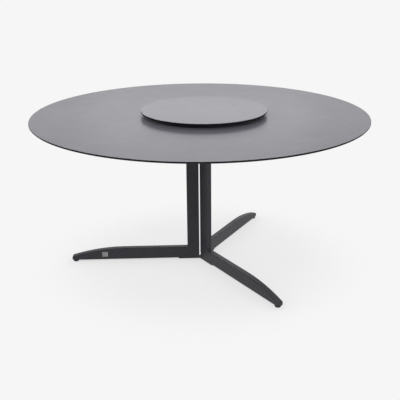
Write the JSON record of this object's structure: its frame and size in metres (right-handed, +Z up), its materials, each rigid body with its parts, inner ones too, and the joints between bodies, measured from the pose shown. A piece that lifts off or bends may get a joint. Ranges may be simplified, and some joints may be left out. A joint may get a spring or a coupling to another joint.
{
  "type": "round dining table with lazy susan",
  "caption": "Round pedestal dining table with a thin bevelled top, tapering L-shaped legs joined at the centre, levelling glides and a loose ball-bearing turntable on top.",
  "frame": {"origin": "on the floor, on the vertical axis of the table top", "axes": "+Z up; one foot points along -X, the other two lie 60 degrees either side of +X"},
  "size_m": [1.5998, 1.5998, 0.776],
  "materials": {
    "top_laminate": "matt mottled slate laminate",
    "disc_laminate": "matt mottled slate laminate",
    "leg_coating": "fine-textured anthracite powder coat",
    "frame_coating": "fine-textured anthracite powder coat",
    "glide_plastic": "moulded black polyamide",
    "cap_plastic": "moulded black plastic",
    "cage_plastic": "natural acetal",
    "spacer_rubber": "black sheet rubber",
    "foot_rubber": "grey moulded rubber",
    "brass_insert": "turned brass",
    "zinc_steel": "zinc-plated steel",
    "black_steel": "blackened steel",
    "raw_steel": "bare steel",
    "ring_aluminium": "turned aluminium",
    "ball_steel": "polished steel"
  },
  "bodies": {
    "table": {"tabletop": "top_laminate", "tabletop_inserts": "brass_insert", "top_spacer_pads": "spacer_rubber", "tabletop_washers": "zinc_steel", "tabletop_screws": "zinc_steel", "top_frame_plate": "frame_coating", "top_frame_arm_1": "frame_coating", "top_frame_arm_2": "frame_coating", "top_frame_arm_3": "frame_coating", "top_frame_arm_4": "frame_coating", "top_frame_arm_5": "frame_coating", "top_frame_arm_6": "frame_coating", "arm_end_caps": "cap_plastic", "leg_rear": "leg_coating", "leg_left": "leg_coating", "leg_front": "leg_coating", "leg_head_blocks": "raw_steel", "leg_heel_blocks": "raw_steel", "frame_bolt_washers": "zinc_steel", "frame_bolts": "zinc_steel", "heel_tie_plate": "leg_coating", "tie_plate_screws": "black_steel", "glide_nuts": "zinc_steel"},
    "turntable_base": {"bearing_outer_ring": "ring_aluminium", "turntable_feet": "foot_rubber"},
    "ball_cage": {"bearing_ball_cage": "cage_plastic", "bearing_balls": "ball_steel"},
    "turntable": {"bearing_inner_ring": "ring_aluminium", "turntable_disc": "disc_laminate", "disc_inserts": "brass_insert", "disc_screws": "zinc_steel"},
    "glide_rear": {"glide_foot_rear": "glide_plastic", "glide_stud_rear": "zinc_steel"},
    "glide_left": {"glide_foot_left": "glide_plastic", "glide_stud_left": "zinc_steel"},
    "glide_front": {"glide_foot_front": "glide_plastic", "glide_stud_front": "zinc_steel"}
  },
  "joints": [
    {"name": "turntable_lift", "type": "slide", "parent": "table", "child": "turntable_base", "axis": [0, 0, 1], "range_m": [0, 0.08]},
    {"name": "turntable_spin", "type": "hinge", "parent": "turntable_base", "child": "turntable", "pos_m": [0.017, -0.008, 0.76], "axis": [0, 0, 1], "continuous": true},
    {"name": "ball_cage_spin", "type": "hinge", "parent": "turntable_base", "child": "ball_cage", "pos_m": [0.017, -0.008, 0.76], "axis": [0, 0, 1], "continuous": true},
    {"name": "glide_rear_screw", "type": "slide", "parent": "table", "child": "glide_rear", "axis": [0, 0, -1], "range_m": [0, 0.008]},
    {"name": "glide_left_screw", "type": "slide", "parent": "table", "child": "glide_left", "axis": [0, 0, -1], "range_m": [0, 0.008]},
    {"name": "glide_front_screw", "type": "slide", "parent": "table", "child": "glide_front", "axis": [0, 0, -1], "range_m": [0, 0.008]}
  ],
  "couplings": [
    {"joint": "ball_cage_spin", "follows": "turntable_spin", "ratio": 0.49}
  ]
}
